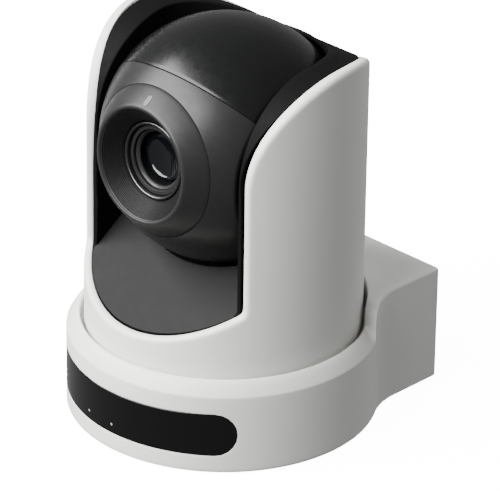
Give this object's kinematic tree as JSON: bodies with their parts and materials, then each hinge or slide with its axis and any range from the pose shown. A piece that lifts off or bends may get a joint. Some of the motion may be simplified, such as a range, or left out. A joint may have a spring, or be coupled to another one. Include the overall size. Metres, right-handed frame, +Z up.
{
  "type": "pan tilt zoom camera",
  "caption": "Conference camera with a white U-shaped yoke that pans on a round base and a dark ball head that tilts, with a deep round lens recess",
  "frame": {"origin": "on the pan axis at the mouth of the tripod thread, level with the feet's soles", "axes": "+Z up along the pan axis; -Y is the front, where the lens looks at rest; +X is the tilt axis's belt side"},
  "size_m": [0.13, 0.143, 0.1717],
  "materials": {
    "white_shell": "satin",
    "liner_grey": "satin",
    "head_front": "satin",
    "head_rear": "gloss",
    "bezel": "satin",
    "window": "gloss",
    "black_plastic": "matte",
    "grey_plastic": "matte",
    "light_pipe": "gloss",
    "steel": "brushed",
    "painted_steel": "satin",
    "zinc": "bright",
    "aluminium": "satin",
    "brass": "machined",
    "rubber": "matte",
    "circuit": "satin",
    "optic": "coated",
    "silicon": "gloss"
  },
  "bodies": {
    "base": {"base_housing": "white_shell", "base_plate": "painted_steel", "tripod_bush": "brass", "rubber_feet": "rubber", "base_screws": "zinc", "ir_window": "window", "ir_board": "circuit", "status_lights": "light_pipe", "main_board": "circuit", "heat_sink": "aluminium", "io_board": "circuit", "rear_panel": "black_plastic", "power_jack": "black_plastic", "lan_socket": "zinc", "video_socket": "zinc", "usb_socket": "zinc", "audio_jack": "black_plastic", "serial_socket": "black_plastic", "chassis_plate": "steel", "chassis_pillars": "zinc", "pan_motor": "steel", "pan_bearing_outer": "steel", "pan_belt": "rubber"},
    "pan_cage": {"pan_bearing_cage": "brass"},
    "pan_drive": {"pan_motor_pulley": "aluminium"},
    "yoke": {"pan_bearing_inner": "steel", "pan_hub": "aluminium", "pan_pulley": "aluminium", "hub_clip": "steel", "hub_screws": "zinc", "turntable": "grey_plastic", "yoke_shell": "white_shell", "yoke_liner": "liner_grey", "yoke_frame": "steel", "yoke_board": "circuit", "tilt_motor": "steel", "tilt_belt": "rubber", "tilt_bearings": "steel"},
    "tilt_drive": {"tilt_motor_pulley": "aluminium"},
    "head": {"head_front_shell": "head_front", "head_rear_shell": "head_rear", "lens_bezel": "bezel", "lens_ring": "aluminium", "lens_retainer": "black_plastic", "front_lens": "optic", "lens_barrel": "black_plastic", "tally_light": "light_pipe", "left_trunnion": "steel", "right_trunnion": "steel", "tilt_pulley": "aluminium", "camera_bracket": "steel", "sensor_board": "circuit", "image_sensor": "silicon", "guide_rods": "zinc", "zoom_motor": "steel", "focus_motor": "steel", "isp_board": "circuit"},
    "zoom": {"zoom_group": "optic"},
    "focus": {"focus_group": "optic"}
  },
  "joints": [
    {"name": "pan", "type": "hinge", "parent": "base", "child": "yoke", "pos_m": [0, 0, 0.0245], "axis": [0, 0, 1], "range_deg": [-170, 170]},
    {"name": "pan_bearing_roll", "type": "hinge", "parent": "base", "child": "pan_cage", "pos_m": [0, 0, 0.0245], "axis": [0, 0, 1], "range_deg": [-90, 90]},
    {"name": "pan_motor_spin", "type": "hinge", "parent": "base", "child": "pan_drive", "pos_m": [0, 0.036, 0.02], "axis": [0, 0, 1], "range_deg": [-700, 700]},
    {"name": "tilt", "type": "hinge", "parent": "yoke", "child": "head", "pos_m": [0, 0, 0.1204], "axis": [-1, 0, 0], "range_deg": [-33, 86]},
    {"name": "tilt_motor_spin", "type": "hinge", "parent": "yoke", "child": "tilt_drive", "pos_m": [0.0477, 0, 0.056], "axis": [-1, 0, 0], "range_deg": [-90, 220]},
    {"name": "zoom", "type": "slide", "parent": "head", "child": "zoom", "axis": [0, -0.9978, 0.0663], "range_m": [-0.006, 0.007]},
    {"name": "focus", "type": "slide", "parent": "head", "child": "focus", "axis": [0, -0.9978, 0.0663], "range_m": [-0.003, 0.003]}
  ],
  "couplings": [
    {"joint": "pan_bearing_roll", "follows": "pan", "ratio": 0.47},
    {"joint": "pan_motor_spin", "follows": "pan", "ratio": 4},
    {"joint": "tilt_motor_spin", "follows": "tilt", "ratio": 2.5}
  ]
}
